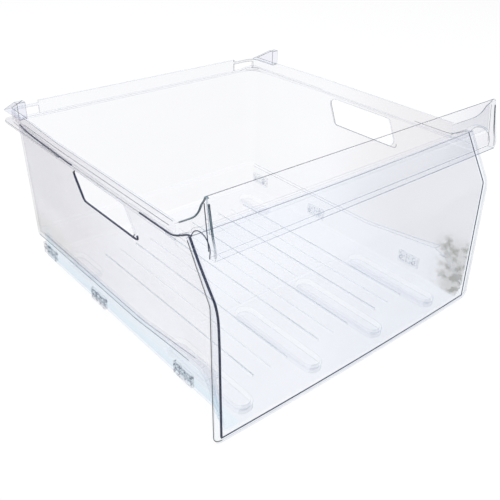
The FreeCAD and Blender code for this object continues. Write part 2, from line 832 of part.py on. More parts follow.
def make_stop(side):
    body = document.addObject("PartDesign::Body", f"stop_{side}")
    profile = body_sketch(body, f"{body.Name}_profile", "YZ_Plane", [[
        ("stop_front + seam", "corner_rim_top + seam"),
        ("stop_tip", "corner_rim_top + seam"),
        ("stop_front + stop_crest", "corner_rim_top + stop_height"),
        ("stop_front + seam", "corner_rim_top + stop_height"),
    ]])
    pad(body, f"{body.Name}_wedge", profile, "stop_width", midplane=True)
    bind(body, ".Placement.Base.x", "stop_centre" if side == "right" else "-stop_centre")
    bind(body, ".Placement.Base.y", "-depth_shift")
    return body


stops = [make_stop("left"), make_stop("right")]
clips = [make_clip(side, place) for side, place in CLIPS]
for piece in (tub, front_panel, grip):
    bind(piece, ".Placement.Base.y", "-depth_shift")

document.recompute()

# Check the document, then write one file for each piece

for thing in document.Objects:
    if "Invalid" in thing.State or "Error" in thing.State:
        raise RuntimeError(f"{thing.Name} failed: {thing.State}")

os.makedirs("parts", exist_ok=True)
for piece in (tub, front_panel, grip, *clips, *stops):
    piece.Label = piece.Name
    shape = piece.Shape
    if shape.isNull() or not shape.isValid() or len(shape.Solids) != 1:
        raise RuntimeError(f"{piece.Name} is not one valid solid")
    shape.exportStep(f"parts/{piece.Label}.step")
    box_of_piece = shape.BoundBox
    print(piece.Label, f"{shape.Volume / 1000:.2f} cm3",
          f"X {box_of_piece.XMin:.2f} {box_of_piece.XMax:.2f}",
          f"Y {box_of_piece.YMin:.2f} {box_of_piece.YMax:.2f}",
          f"Z {box_of_piece.ZMin:.2f} {box_of_piece.ZMax:.2f}")
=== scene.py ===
# Clear freezer drawer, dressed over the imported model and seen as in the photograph.
# Metres. X is the width, +Y runs to the back, +Z is up.

import math
from collections import namedtuple

import bmesh
import bpy
from mathutils import Matrix, Vector
from mathutils.bvhtree import BVHTree


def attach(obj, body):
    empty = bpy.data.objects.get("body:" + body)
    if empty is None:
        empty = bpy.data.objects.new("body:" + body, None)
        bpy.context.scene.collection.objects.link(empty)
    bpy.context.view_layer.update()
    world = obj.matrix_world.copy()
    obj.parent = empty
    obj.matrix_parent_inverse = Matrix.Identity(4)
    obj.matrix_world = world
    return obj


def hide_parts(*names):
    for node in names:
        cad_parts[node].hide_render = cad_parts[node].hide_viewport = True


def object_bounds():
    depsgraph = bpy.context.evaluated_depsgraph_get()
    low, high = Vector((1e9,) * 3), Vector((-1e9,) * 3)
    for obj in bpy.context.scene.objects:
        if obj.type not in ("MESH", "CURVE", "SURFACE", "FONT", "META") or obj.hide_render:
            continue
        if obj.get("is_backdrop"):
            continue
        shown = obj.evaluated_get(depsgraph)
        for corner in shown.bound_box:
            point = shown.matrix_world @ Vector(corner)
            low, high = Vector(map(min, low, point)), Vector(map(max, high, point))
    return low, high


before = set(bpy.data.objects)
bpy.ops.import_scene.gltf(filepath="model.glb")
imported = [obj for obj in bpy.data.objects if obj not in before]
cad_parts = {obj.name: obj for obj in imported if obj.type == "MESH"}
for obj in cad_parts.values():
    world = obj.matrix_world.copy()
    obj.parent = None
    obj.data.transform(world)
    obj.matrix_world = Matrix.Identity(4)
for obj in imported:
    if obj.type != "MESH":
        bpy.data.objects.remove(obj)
cad_low, cad_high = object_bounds()

BODY = "root"
MM = 0.001

# Camera, from the photograph's perspective

CAMERA_PLACE = Vector((-0.5168, -0.6227, 0.5338))
CAMERA_AZIMUTH = 40.71
CAMERA_DIP = 31.04
CAMERA_ROLL = 1.52
CAMERA_LENS = 48.6
CAMERA_SENSOR = 36.0
CAMERA_NEAR = 0.01


def make_camera():
    data = bpy.data.cameras.new("photo_camera")
    data.lens = CAMERA_LENS
    data.sensor_width = CAMERA_SENSOR
    data.clip_start = CAMERA_NEAR
    camera = bpy.data.objects.new("photo_camera", data)
    bpy.context.scene.collection.objects.link(camera)
    turn = Matrix.Rotation(math.radians(-CAMERA_AZIMUTH), 4, "Z")
    tilt = Matrix.Rotation(math.radians(90 - CAMERA_DIP), 4, "X")
    roll = Matrix.Rotation(math.radians(CAMERA_ROLL), 4, "Z")
    camera.matrix_world = Matrix.Translation(CAMERA_PLACE) @ turn @ tilt @ roll
    bpy.context.scene.camera = camera


make_camera()


# Node helpers

def is_colour(socket):
    return socket.type == "RGBA"


class Tree:
    """Short way to build a node tree. A value is a number, a colour or another node's output."""

    def __init__(self, tree):
        self.tree = tree
        tree.nodes.clear()

    def add(self, kind, **settings):
        node = self.tree.nodes.new(kind)
        for name, value in settings.items():
            setattr(node, name, value)
        return node

    def link(self, source, target):
        self.tree.links.new(source, target)

    def put(self, value, socket):
        if isinstance(value, tuple):
            socket.default_value = (*value, 1.0)
        elif isinstance(value, (int, float)):
            socket.default_value = value
        else:
            self.link(value, socket)

    def math(self, operation, *values):
        node = self.add("ShaderNodeMath", operation=operation)
        for value, socket in zip(values, node.inputs):
            self.put(value, socket)
        return node.outputs[0]

    def remap(self, value, low, high, new_low, new_high, **settings):
        node = self.add("ShaderNodeMapRange", **settings)
        for name, content in (("Value", value), ("From Min", low), ("From Max", high),
                              ("To Min", new_low), ("To Max", new_high)):
            self.put(content, node.inputs[name])
        return node.outputs["Result"]

    def blend(self, factor, first, second):
        """Mix of two colours."""
        node = self.add("ShaderNodeMix", data_type="RGBA")
        self.link(factor, node.inputs["Factor"])
        for value, socket in zip((first, second), filter(is_colour, node.inputs)):
            self.put(value, socket)
        return next(filter(is_colour, node.outputs))

    def noise(self, coordinates, scale, detail=2.0, stretch=None):
        node = self.add("ShaderNodeTexNoise")
        node.inputs["Scale"].default_value = scale
        node.inputs["Detail"].default_value = detail
        if stretch is not None:
            mapping = self.add("ShaderNodeMapping")
            mapping.inputs["Scale"].default_value = stretch
            self.link(coordinates, mapping.inputs["Vector"])
            coordinates = mapping.outputs["Vector"]
        self.link(coordinates, node.inputs["Vector"])
        return node.outputs["Fac"]

    def facing(self):
        """0 face on, 1 at a grazing angle."""
        node = self.add("ShaderNodeLayerWeight")
        node.inputs["Blend"].default_value = 0.5
        return node.outputs["Facing"]

    def axes(self, coordinates):
        """The three parts of a place or direction."""
        node = self.add("ShaderNodeSeparateXYZ")
        self.link(coordinates, node.inputs[0])
        return node.outputs

    def finish(self, shader, kind="ShaderNodeOutputMaterial"):
        self.link(shader.outputs[0], self.add(kind).inputs["Surface"])

    def show_through(self, cover, through, surface):
        """Ends the tree with a surface that covers what passes through it."""
        mix = self.add("ShaderNodeMixShader")
        self.link(cover, mix.inputs["Fac"])
        self.link(through.outputs[0], mix.inputs[1])
        self.link(surface.outputs[0], mix.inputs[2])
        self.finish(mix)


def new_material(name):
    material = bpy.data.materials.new(name)
    material.use_nodes = True
    return material, Tree(material.node_tree)


def scaled(colour, share):
    return tuple(channel * share for channel in colour)


# Clear plastic: what shows is mostly what lies behind it, less a tint, under a thin gloss

NOISE_RANGE = (0.3, 0.7)
NOISE_MIDDLE = (0.35, 0.65)

FLOW_SCALE = 9.0
FLOW_STRETCH = (1.0, 1.0, 2.2)
TINT_SCALE = 3.2
TINT_DIP = 0.992
RIPPLE_SCALE = 60.0
PATCH_RANGE = (0.5, 0.62)
GRAZING_POWER = 3.0
VEIL_DRIFT = 0.3
VEIL_LIMIT = 0.95
VEIL_DIP = 0.93
GLOSS_ROUGHNESS = (0.056, 0.12)
GLOSS_IOR = 1.5
BUMP_STRENGTH = 0.12
BUMP_DISTANCE = 1.5 * MM


def ramp_of(tree, axes, axis, start, end):
    """0 to 1 along an axis of the drawer, in millimetres."""
    return tree.remap(axes[axis], start * MM, end * MM, 0.0, 1.0, interpolation_type="SMOOTHSTEP")


def clear_plastic(name, tint, veil, veil_colour, grazing, shades=()):
    """tint is what passes, veil and grazing are how much the surface shows face on and aslant.

    A shade is a stack of ramps and the tint that is reached where all of them are complete. Its
    third value, if any, is the scale of the patches that it is broken up into."""
    material, tree = new_material(name)
    place = tree.add("ShaderNodeTexCoord").outputs["Object"]
    axes = tree.axes(place)
    flow = tree.noise(place, FLOW_SCALE, detail=3.0, stretch=FLOW_STRETCH)
    slow = tree.noise(place, TINT_SCALE, detail=1.0)
    grazed = tree.math("POWER", tree.facing(), GRAZING_POWER)
    amount = tree.math("MULTIPLY_ADD", grazed, grazing, veil)
    drift = tree.remap(flow, *NOISE_RANGE, 1.0 - VEIL_DRIFT, 1.0 + VEIL_DRIFT)
    cover = tree.math("MINIMUM", tree.math("MULTIPLY", amount, drift), VEIL_LIMIT)

    passed = tree.blend(tree.remap(slow, *NOISE_MIDDLE, 0.0, 1.0), tint, scaled(tint, TINT_DIP))
    for ramps, colour, *patches in shades:
        steps = [tree.remap(tree.noise(place, scale), *PATCH_RANGE, 0.0, 1.0) for scale in patches]
        steps += [ramp_of(tree, axes, *ramp) for ramp in ramps]
        reach = steps[0]
        for step in steps[1:]:
            reach = tree.math("MULTIPLY", reach, step)
        passed = tree.blend(reach, passed, colour)
    through = tree.add("ShaderNodeBsdfTransparent")
    tree.link(passed, through.inputs["Color"])

    surface = tree.add("ShaderNodeBsdfPrincipled")
    surface.inputs["IOR"].default_value = GLOSS_IOR
    shown = tree.blend(tree.remap(flow, *NOISE_RANGE, 0.0, 1.0), veil_colour,
                       scaled(veil_colour, VEIL_DIP))
    tree.link(shown, surface.inputs["Base Color"])
    ripple = tree.noise(place, RIPPLE_SCALE)
    tree.link(tree.remap(ripple, *NOISE_RANGE, *GLOSS_ROUGHNESS), surface.inputs["Roughness"])
    bump = tree.add("ShaderNodeBump")
    bump.inputs["Strength"].default_value = BUMP_STRENGTH
    bump.inputs["Distance"].default_value = BUMP_DISTANCE
    tree.link(flow, bump.inputs["Height"])
    tree.link(bump.outputs["Normal"], surface.inputs["Normal"])
    tree.show_through(cover, through, surface)
    return material


# Painted shade: where the plastic is drawn greyer, browner or darker than the rest, and a bluer
# low band. A ramp is (axis, start, end).

# Painted shade: the left wall is drawn darker towards the rear
LEFT_WALL_PAINTED_SHADE = (((0, -196, -204), (1, -80, 90)), (0.925, 0.922, 0.932))
# Painted shade: a brownish darkening low in the left wall's rear corner
LEFT_BROWN_PAINTED_SHADE = (((0, -192, -199), (1, 60, 140), (2, 105, 70)), (0.905, 0.900, 0.898))
# Painted shade: the right wall is drawn greyer towards the front
RIGHT_WALL_PAINTED_SHADE = (((0, 190, 204), (1, 60, -130)), (0.935, 0.928, 0.934))
# Painted shade: the low front of the right wall is drawn darker, and lower down it is broken
# into dark painted patches where the plastic bends its dark surroundings into view
RIGHT_LOW_PAINTED_SHADE = (((0, 192, 200), (1, -165, -205), (2, 100, 60)), (0.84, 0.835, 0.825))
RIGHT_LOW_SHADE_PATCHES = (((0, 192, 200), (1, -178, -194), (2, 92, 74)), (0.66, 0.655, 0.63), 90.0)
BAND_CYAN = (((0, -180, -186), (2, 56, 46)), (0.950, 0.976, 0.992))
# Painted shade: the panel is drawn greyer and bluer towards its right
PANEL_RIGHT_PAINTED_SHADE = (((0, -120, 40),), (0.958, 0.970, 0.988))
# Painted shade: the grip is drawn greyer towards its right end
GRIP_RIGHT_PAINTED_SHADE = (((0, 60, 214),), (0.934, 0.934, 0.948))

TUB = clear_plastic("clear_tub", (0.981, 0.982, 0.991), 0.010, (0.80, 0.81, 0.86), 0.20,
                    (LEFT_WALL_PAINTED_SHADE, LEFT_BROWN_PAINTED_SHADE, RIGHT_WALL_PAINTED_SHADE, RIGHT_LOW_PAINTED_SHADE, RIGHT_LOW_SHADE_PATCHES, BAND_CYAN))
PANEL = clear_plastic("clear_panel", (0.978, 0.987, 0.999), 0.010, (0.82, 0.86, 0.93), 0.20,
                      (PANEL_RIGHT_PAINTED_SHADE,))
GRIP = clear_plastic("clear_grip", (0.996, 0.997, 1.0), 0.010, (0.80, 0.84, 0.92), 0.20,
                     (GRIP_RIGHT_PAINTED_SHADE,))
STOP = clear_plastic("clear_stop", (0.955, 0.958, 0.986), 0.020, (0.76, 0.78, 0.88), 0.22)
SMALL = clear_plastic("clear_small", (0.982, 0.986, 0.992), 0.015, (0.74, 0.80, 0.86), 0.20)


# Cut edges and creases bend the light from behind them away, so each shows as a line; that shade
# is painted onto their faces

LINE_LIMIT = 0.97
LINE_ROUGHNESS = (0.15, 0.3)
LINE_SPECULAR = 0.2
LINE_TINT = (0.99, 0.992, 0.996)
LIT_RANGE = (0.3, 0.75)
LIT_SHARE = 0.5
SIDE_POWER = 0.4
SIDE_REACH = 0.75
GAP_SLOPE = 0.03
GAP_COVER = 0.15
FADED_COVER = 0.25


def line_plastic(name, colour, cover, drift=0.25, streaks=28.0, fade=None, gaps=None, core=None,
                 lift=0.4):
    """fade is (axis, middle, inner, outer): the line is weak within inner of the middle.

    gaps is the share of the line that is broken up into specks. core is how much of the line
    shows along the middle of a clear rod, whose sides are painted darker. lift is how much paler
    the line is in the painted highlights that streak along it."""
    material, tree = new_material(name)
    place = tree.add("ShaderNodeTexCoord").outputs["Object"]
    streak = tree.noise(place, streaks, detail=3.0)
    strength = tree.remap(streak, *NOISE_MIDDLE, cover * (1 - drift),
                          min(cover * (1 + drift), LINE_LIMIT))
    weights = []
    if core is not None:
        toward_side = tree.math("POWER", tree.facing(), SIDE_POWER)
        weights.append(tree.remap(toward_side, 0.0, SIDE_REACH, core, 1.0))
    if gaps is not None:
        weights.append(tree.remap(streak, gaps - GAP_SLOPE, gaps + GAP_SLOPE, GAP_COVER, 1.0))
    if fade is not None:
        axis, middle, inner, outer = fade
        away = tree.math("ABSOLUTE", tree.math("SUBTRACT", tree.axes(place)[axis], middle * MM))
        weights.append(tree.remap(away, inner * MM, outer * MM, FADED_COVER, 1.0))
    for weight in weights:
        strength = tree.math("MULTIPLY", strength, weight)

    surface = tree.add("ShaderNodeBsdfPrincipled")
    surface.inputs["Specular IOR Level"].default_value = LINE_SPECULAR
    lighter = tuple(channel * (1 - lift) + lift for channel in colour)
    shown = tree.blend(tree.remap(streak, *LIT_RANGE, 0.0, LIT_SHARE), colour, lighter)
    tree.link(shown, surface.inputs["Base Color"])
    tree.link(tree.remap(streak, *NOISE_RANGE, *LINE_ROUGHNESS), surface.inputs["Roughness"])
    through = tree.add("ShaderNodeBsdfTransparent")
    through.inputs["Color"].default_value = (*LINE_TINT, 1.0)
    tree.show_through(strength, through, surface)
    return material


LINES = {
    "clear": line_plastic("line_clear", (0.9, 0.92, 0.95), 0.006),
    "pale": line_plastic("line_pale", (0.62, 0.70, 0.80), 0.20),
    "faint": line_plastic("line_faint", (0.40, 0.43, 0.52), 0.38),
    "rib": line_plastic("line_rib", (0.28, 0.38, 0.43), 0.45, drift=0.5),
    "low_rib": line_plastic("line_low_rib", (0.45, 0.55, 0.62), 0.16, drift=0.5),
    "skid": line_plastic("line_skid", (0.45, 0.60, 0.70), 0.14, drift=0.5),
    "skid_end": line_plastic("line_skid_end", (0.16, 0.36, 0.52), 0.50, drift=0.7, streaks=90.0),
    "cyan": line_plastic("line_cyan", (0.22, 0.42, 0.52), 0.6),
    "grey": line_plastic("line_grey", (0.12, 0.13, 0.18), 0.8, lift=0.3),
    "specks": line_plastic("line_specks", (0.02, 0.06, 0.13), 0.85, streaks=560.0, gaps=0.6,
                           lift=0.25),
    "pale_specks": line_plastic("line_pale_specks", (0.35, 0.52, 0.62), 0.3, streaks=420.0,
                                gaps=0.6),
}
LINE_NAMES = list(LINES)

BLACK_ROD = line_plastic("rod_black", (0.012, 0.026, 0.080), 0.95, drift=0.05, core=0.85, lift=0.1)
RIM_ROD = line_plastic("rod_rim", (0.015, 0.026, 0.075), 0.93, drift=0.1, core=0.8, lift=0.15)
END_ROD = line_plastic("rod_end", (0.01, 0.035, 0.07), 0.93, fade=(2, 200, 34, 46), core=0.7,
                       lift=0.15)
CYAN_ROD = line_plastic("rod_cyan", (0.05, 0.14, 0.19), 0.75, core=0.35, lift=0.3)
EDGE_ROD = line_plastic("rod_edge", (0.10, 0.09, 0.085), 0.75, core=0.7, lift=0.3)
FOOT_ROD = line_plastic("rod_foot", (0.10, 0.16, 0.28), 0.62, core=0.8, fade=(0, -215, 60, 420))
THIN_ROD = line_plastic("rod_thin", (0.13, 0.14, 0.19), 0.66, core=0.8, lift=0.3)
GREY_ROD = line_plastic("rod_grey", (0.16, 0.18, 0.24), 0.6, core=0.4)
LEDGE_ROD = line_plastic("rod_ledge", (0.10, 0.16, 0.22), 0.7, drift=0.4, core=0.6)


# Which line a face belongs to. Places are in millimetres from the front plane of the drawer.

FRONT_PLANE = -230.0

# The panel's back face at its side edges, as (depth, height), and how far its middle bows out
PANEL_FOOT = (3.0, 0.0)
PANEL_KNEE = (7.1, 173.0)
PANEL_TOP = (42.5, 231.5)
PANEL_HALF = 219.5
BOW = 3.0


def panel_back(x, z):
    """Depth of the front panel's back face."""
    low, high = (PANEL_FOOT, PANEL_KNEE) if z < PANEL_KNEE[1] else (PANEL_KNEE, PANEL_TOP)
    share = (z - low[1]) / (high[1] - low[1])
    return low[0] + share * (high[0] - low[0]) - BOW * (1 - (x / PANEL_HALF) ** 2)


Place = namedtuple("Place", "x y z")


def above(limit):
    return (limit, math.inf)


def below(limit):
    return (-math.inf, limit)


ANYWHERE = (-math.inf, math.inf)


class Zone:
    """Part of the drawer, by how far from the middle, how deep and how high it lies."""

    def __init__(self, side=ANYWHERE, depth=ANYWHERE, height=ANYWHERE):
        self.limits = (side, depth, height)

    def __contains__(self, place):
        x, y, z = place
        return all(low < value < high for value, (low, high) in zip((abs(x), y, z), self.limits))


# Kinds of face: broad ones, the edges of sheets, and the rounded creases between faces
BROAD, EDGE, CREASE = range(3)

SEAM_DEPTH = 48.0
SEAM_REACH = 2.0
SKIDS = Zone(side=below(180), height=below(11.3))
SKID_END = 21.0
RIB_TOP = 17.5
FLOOR = Zone(side=below(180), height=below(RIB_TOP))
RIBS = Zone(side=below(140), height=above(12.6))
RIB_PITCH = 26.0
CROSS_BAR = (162.0, 169.0)
RIM_END = Zone(depth=(60, 68), height=above(205))
RIM_SWEEP = Zone(depth=below(68), height=above(207))
SWEEP_FOOT = 214.0
SWEEP_TOP = Zone(depth=(64, 68), height=above(220.5))
FLANGES = Zone(side=above(165), depth=above(395), height=above(205))
RIM_SIDE = 200.0
RIM_LEVEL = 212.0
RIM_TOP = 231.0
HOLES = Zone(side=above(195), depth=(130, 295), height=above(165))
REAR_WALL = 425.0
REAR_LEFT = -120.0

# How a face is turned, by the parts of its normal
LEVEL = 0.985
NEARLY_LEVEL = 0.95
STEEP = 0.5
FRONT_ON = 0.7
HALF_TURNED = 0.4


def broad_tub_line(place, normal):
    """Walls of the skids and ribs and the rim's front end don't show the tub's own gloss."""
    if place in SKIDS:
        if place.y < SKID_END and abs(normal.z) < NEARLY_LEVEL:
            return "skid"
        return "clear" if abs(normal.z) < LEVEL else None
    floor_wall = place in FLOOR and abs(normal.z) < STEEP
    rim_end = place in RIM_END and abs(normal.y) > FRONT_ON
    return "clear" if floor_wall or rim_end else None


def rim_line(place, kind):
    left = place.x < 0
    if place in RIM_SWEEP:
        return "clear" if place.z < SWEEP_FOOT or place in SWEEP_TOP else "faint"
    if place in FLANGES:
        if kind == EDGE:
            return "pale"
        return "faint" if left else "grey"
    outer_left = left and abs(place.x) > RIM_SIDE
    if place.z > RIM_TOP:
        if kind == EDGE:
            return "pale"
        return "grey" if outer_left else "faint"
    if place.z > RIM_LEVEL:
        if outer_left:
            return "grey" if kind == CREASE else "pale"
        return "faint"
    return None


def tub_line(place, normal, kind):
    left = place.x < 0
    near_panel = abs(place.y - panel_back(place.x, place.z)) < SEAM_REACH
    if place.y < SEAM_DEPTH and near_panel:
        return "clear"
    if kind == BROAD:
        return broad_tub_line(place, normal)
    if place in SKIDS:
        return "skid_end" if place.y < SKID_END else "skid"
    on_rim = rim_line(place, kind)
    if on_rim is not None:
        return on_rim
    if place in HOLES:
        seen_edge = normal.z > HALF_TURNED or normal.y < -HALF_TURNED
        if left:
            return "grey" if seen_edge else "pale"
        return "faint" if seen_edge or kind == CREASE else "pale"
    if place.z > RIB_TOP:
        if place.y > REAR_WALL:
            return "pale" if place.x < REAR_LEFT else "clear"
        return "pale" if left else "faint"
    if place in RIBS:
        if abs(normal.y) > STEEP or CROSS_BAR[0] < place.y < CROSS_BAR[1]:
            return "clear"
        return "rib" if round(place.x / RIB_PITCH) % 2 else "low_rib"
    return "clear"


PANEL_RIM = 229.0


def panel_line(place, normal, kind):
    if kind == BROAD:
        return None
    if place.z > PANEL_RIM:
        return "grey" if kind == CREASE and normal.y < 0 else "clear"
    return "pale" if kind == EDGE or normal.y < 0 else "faint"


GRIP_END = 209.0
WEB_REAR = 60.0
WEB_LOW = Zone(depth=above(12), height=below(241))
WEB_TOP = 245.0
SHELF = Zone(depth=above(17.5), height=below(WEB_TOP))
SHELF_REAR = 36.0
STRIP_FOOT = 224.0


def grip_line(place, normal, kind):
    at_end = abs(place.x) > GRIP_END
    if kind == BROAD:
        web_rear = abs(normal.y) > FRONT_ON and place.y > WEB_REAR
        shelf = place in SHELF and not at_end
        return "clear" if web_rear or shelf else None
    if place.y > WEB_REAR:
        return "clear"
    if at_end:
        if place in WEB_LOW:
            return "faint"
        return "cyan" if place.z > WEB_TOP or place.x > 0 else "faint"
    if place.y > SHELF_REAR:
        return "clear" if kind == EDGE else "pale"
    return "clear" if place.z < STRIP_FOOT else "pale"


def clip_line(place, normal, kind):
    if kind == BROAD:
        return None
    return "specks" if place.x < 0 else "pale_specks"


def stop_line(place, normal, kind):
    return (None, "pale", "grey")[kind]


# Dressed copies of the solids

SHEET_EDGE = 3.4 * MM
WELD = 0.002 * MM
FLAT_ANGLE = math.radians(0.4)
SMOOTH_ANGLE = math.radians(22)
SHADED_ANGLE = math.radians(40)


def is_sharp(edge):
    return edge.calc_face_angle(0.0) > SMOOTH_ANGLE


def smooth_regions(mesh):
    """Groups of faces that run on into one another without a sharp edge."""
    seen = set()
    for start in mesh.faces:
        if start.index in seen:
            continue
        region = []
        queue = [start]
        seen.add(start.index)
        while queue:
            face = queue.pop()
            region.append(face)
            for edge in face.edges:
                if len(edge.link_faces) != 2 or is_sharp(edge):
                    continue
                for other in edge.link_faces:
                    if other.index not in seen:
                        seen.add(other.index)
                        queue.append(other)
        yield region


def mean_width(region):
    """Width of a strip with the region's area and outline."""
    inside = set(region)
    outline = sum(
        edge.calc_length() for face in region for edge in face.edges
        if sum(other in inside for other in edge.link_faces) < 2 or is_sharp(edge))
    return 2 * sum(face.calc_area() for face in region) / max(outline, 1e-9)


def mark_sheet_edges(mesh):
    for face in mesh.faces:
        face.material_index = BROAD
    for region in smooth_regions(mesh):
        if mean_width(region) < SHEET_EDGE:
            for face in region:
                face.material_index = EDGE


def round_creases(mesh, width):
    sharp = [edge for edge in mesh.edges if len(edge.link_faces) == 2 and is_sharp(edge)]
    bmesh.ops.bevel(mesh, geom=sharp, offset=width, offset_type="OFFSET", segments=2, profile=0.5,
                    affect="EDGES", clamp_overlap=False, material=CREASE)
    for edge in mesh.edges:
        kinds = {face.material_index == CREASE for face in edge.link_faces}
        edge.smooth = len(kinds) == 1 and edge.calc_face_angle(0.0) < SHADED_ANGLE


def draw_lines(mesh, line_of):
    """Give each face its line, from its place and its kind."""
    for face in mesh.faces:
        middle = face.calc_center_median() / MM
        place = Place(middle.x, middle.y - FRONT_PLANE, middle.z)
        line = line_of(place, face.normal, face.material_index)
        if line is None and face.material_index != BROAD:
            line = "pale"
        face.material_index = 0 if line is None else 1 + LINE_NAMES.index(line)
        face.smooth = True


def order_faces(mesh):
    """Store the faces by their vertices, since triangulating leaves them in no fixed order."""
    mesh.verts.index_update()
    count = len(mesh.verts)

    def rank(face):
        first, second, third = sorted(vertex.index for vertex in face.verts)[:3]
        return (first * count + second) * count + third

    mesh.faces.sort(key=rank)


def dressed(node, body, line_of, crease):
    """Copy of a node with rounded creases; its sheet edges and creases show as lines."""
    mesh = bmesh.new()
    mesh.from_mesh(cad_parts[node].data)
    bmesh.ops.remove_doubles(mesh, verts=mesh.verts, dist=WELD)
    bmesh.ops.dissolve_limit(mesh, angle_limit=FLAT_ANGLE, verts=mesh.verts, edges=mesh.edges)
    mesh.faces.index_update()
    mark_sheet_edges(mesh)
    round_creases(mesh, crease * MM)
    mesh.normal_update()
    draw_lines(mesh, line_of)
    bmesh.ops.triangulate(mesh, faces=[face for face in mesh.faces if len(face.verts) > 4])
    order_faces(mesh)
    data = bpy.data.meshes.new(f"{node}_dressed")
    mesh.to_mesh(data)
    mesh.free()
    data.materials.append(body)
    for material in LINES.values():
        data.materials.append(material)
    piece = bpy.data.objects.new(f"{node}_dressed", data)
    bpy.context.scene.collection.objects.link(piece)
    flat = piece.modifiers.new("flat_faces", "WEIGHTED_NORMAL")
    flat.keep_sharp = True
    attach(piece, BODY)
    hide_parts(node)
    return piece


def dress_drawer():
    dressed("tub", TUB, tub_line, crease=0.45)
    dressed("front_panel", PANEL, panel_line, crease=0.5)
    dressed("handle_grip", GRIP, grip_line, crease=0.5)
    for side in ("left", "right"):
        for place in ("front", "middle", "rear"):
            dressed(f"clip_{side}_{place}", SMALL, clip_line, crease=0.3)
        dressed(f"stop_{side}", STOP, stop_line, crease=0.6)


dress_drawer()


# Beads: thin rods along the edges where the light shows thick dark lines, painted dark as that
# shade. Sizes, gaps and points are in millimetres, and points are counted from the front plane.

def bead(name, points, material, radius):
    curve = bpy.data.curves.new(name, "CURVE")
    curve.dimensions = "3D"
    curve.bevel_depth = radius * MM
    curve.bevel_resolution = 3
    curve.use_fill_caps = True
    spline = curve.splines.new("NURBS")
    spline.points.add(len(points) - 1)
    for place, (x, y, z) in zip(spline.points, points):
        place.co = (x * MM, (y + FRONT_PLANE) * MM, z * MM, 1.0)
    spline.order_u = 3
    spline.use_endpoint_u = True
    spline.resolution_u = 6
    route = bpy.data.objects.new(f"{name}_route", curve)
    mesh = bpy.data.meshes.new_from_object(route)
    bpy.data.objects.remove(route)
    bpy.data.curves.remove(curve)
    mesh.name = name
    mesh.materials.clear()
    mesh.materials.append(material)
    for polygon in mesh.polygons:
        polygon.use_smooth = True
    rod = bpy.data.objects.new(name, mesh)
    bpy.context.scene.collection.objects.link(rod)
    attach(rod, BODY)
    return rod


class Surface:
    """Finds the outside of a node along a line, in millimetres from the front plane."""

    # Where the lines start, and how far they reach inwards, in metres
    BESIDE = 0.3
    ABOVE = 0.4
    INWARDS = 0.2

    def __init__(self, node):
        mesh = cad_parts[node].data
        self.tree = BVHTree.FromPolygons([vertex.co[:] for vertex in mesh.vertices],
                                         [polygon.vertices[:] for polygon in mesh.polygons])

    def side(self, sign, y, z):
        """X of the outer surface at a depth and height."""
        start = Vector((sign * self.BESIDE, (y + FRONT_PLANE) * MM, z * MM))
        found = self.tree.ray_cast(start, Vector((-sign, 0, 0)), self.INWARDS)[0]
        return None if found is None else found.x / MM

    def top(self, x, y):
        """Height of the upper surface."""
        start = Vector((x * MM, (y + FRONT_PLANE) * MM, self.ABOVE))
        found = self.tree.ray_cast(start, Vector((0, 0, -1)), self.ABOVE)[0]
        return None if found is None else found.z / MM


WALL_FOOT = (198.0, 9.5)
WALL_LEAN = 15.0
WALL_RISE = 208.0
HALF_WALL = 1.25


def wall_middle(sign, y, z):
    """Point halfway through a side wall, between the flares at its ends."""
    side, level = WALL_FOOT
    return (sign * (side + WALL_LEAN * (z - level) / WALL_RISE - HALF_WALL), y, z)


def behind_panel(places, sign, gap):
    """Points behind the panel's back face, at (distance from the middle, height) places."""
    return [(sign * x, panel_back(x, z) + gap, z) for x, z in places]


def on_side(surface, sign, places, sunk):
    """Points just inside the outer surface, at (depth, height) places."""
    points = []
    for y, z in places:
        x = surface.side(sign, y, z)
        if x is not None:
            points.append((x - sign * sunk, y, z))
    return points


def seam_beads():
    """Painted dark line at the seam between the tub and the panel: wide on the left, fine at the
    foot and on the right.
    """
    left = ((208.0, 3.0), (208.0, 6.0), (208.2, 60.0), (208.2, 120.0), (208.8, 150.0),
            (209.9, 160.0), (211.4, 168.0), (212.4, 174.0), (213.0, 180.0), (213.9, 194.0),
            (214.6, 210.0), (214.8, 226.0), (214.8, 230.5))
    bead("seam_bead_left", behind_panel(left, -1, gap=1.2), BLACK_ROD, radius=1.3)
    right = [(214.3, z) for z in (2.2, 5.0, 60.0, 120.0, 168.0, 173.5, 178.0, 200.0, 226.0, 230.0)]
    bead("seam_bead_right", behind_panel(right, 1, gap=0.6), BLACK_ROD, radius=0.62)
    foot = [(x, 2.2) for x in (-208.5, -206.0, -150.0, -75.0, 0.0, 75.0, 150.0, 212.0, 214.3)]
    bead("seam_bead_foot", behind_panel(foot, 1, gap=0.7), BLACK_ROD, radius=0.7)
    outer = ((219.1, 228.0), (219.1, 180.0), (219.1, 173.0), (219.1, 166.0), (219.1, 60.0),
             (219.1, 12.0), (218.9, 7.0), (216.2, 3.1), (212.0, 0.7), (208.5, 0.4))
    bead("edge_bead_left", behind_panel(outer, -1, gap=-0.4), EDGE_ROD, radius=0.5)


def hole_beads():
    """Rear and lower edges of the hand holes."""
    edge = ((277, 207), (275, 203), (268, 189.5), (264, 181.5), (261.5, 176), (258, 175),
            (248, 175), (200, 175), (156, 175), (149, 175.2), (144.5, 177), (146, 181))
    for sign, side, radius, rod in ((-1, "left", 1.15, BLACK_ROD), (1, "right", 0.4, GREY_ROD)):
        bead(f"hole_bead_{side}", [wall_middle(sign, y, z) for y, z in edge], rod, radius)


RIM_OUT = 215.9
SWEEP_OUT = 215.3
SWEEP_START = 60.0
LEDGE_EDGE = 1.6


